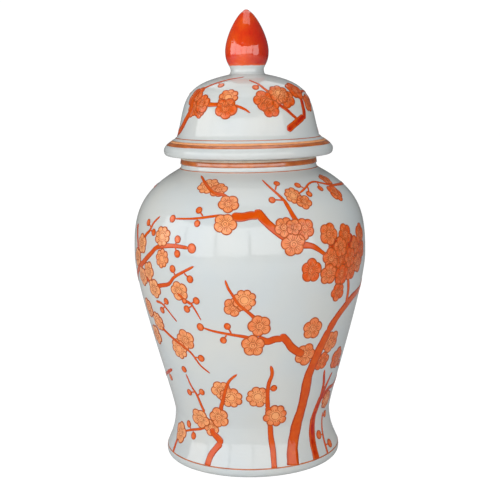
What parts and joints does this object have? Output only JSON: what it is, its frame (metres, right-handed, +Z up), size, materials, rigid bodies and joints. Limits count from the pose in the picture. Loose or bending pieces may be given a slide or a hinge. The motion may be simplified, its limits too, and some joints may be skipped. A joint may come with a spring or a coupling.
{
  "type": "ginger jar",
  "caption": "Tall shouldered porcelain jar with a spreading foot, and a lift-off domed lid with a locating collar and a bud-shaped knob.",
  "frame": {"origin": "on the jar's axis, at the surface that its foot ring stands on", "axes": "+Z up along the jar's axis; -Y is the painted front"},
  "size_m": [0.2356, 0.2356, 0.454],
  "materials": {
    "white_glaze": "glossy, faintly cool off-white glaze",
    "bare_porcelain": "dry unglazed porcelain, slightly warm",
    "red_enamel": "glossy orange-red enamel",
    "painted_enamel": "coral and brown overglaze painting, glossy"
  },
  "bodies": {
    "jar": {"jar_body": "white_glaze"},
    "lid": {"lid_dome": "white_glaze", "lid_collar": "bare_porcelain", "lid_knob": "red_enamel"}
  },
  "joints": [
    {"name": "lid_lift", "type": "slide", "parent": "jar", "child": "lid", "axis": [0, 0, 1], "range_m": [0, 0.12]}
  ]
}
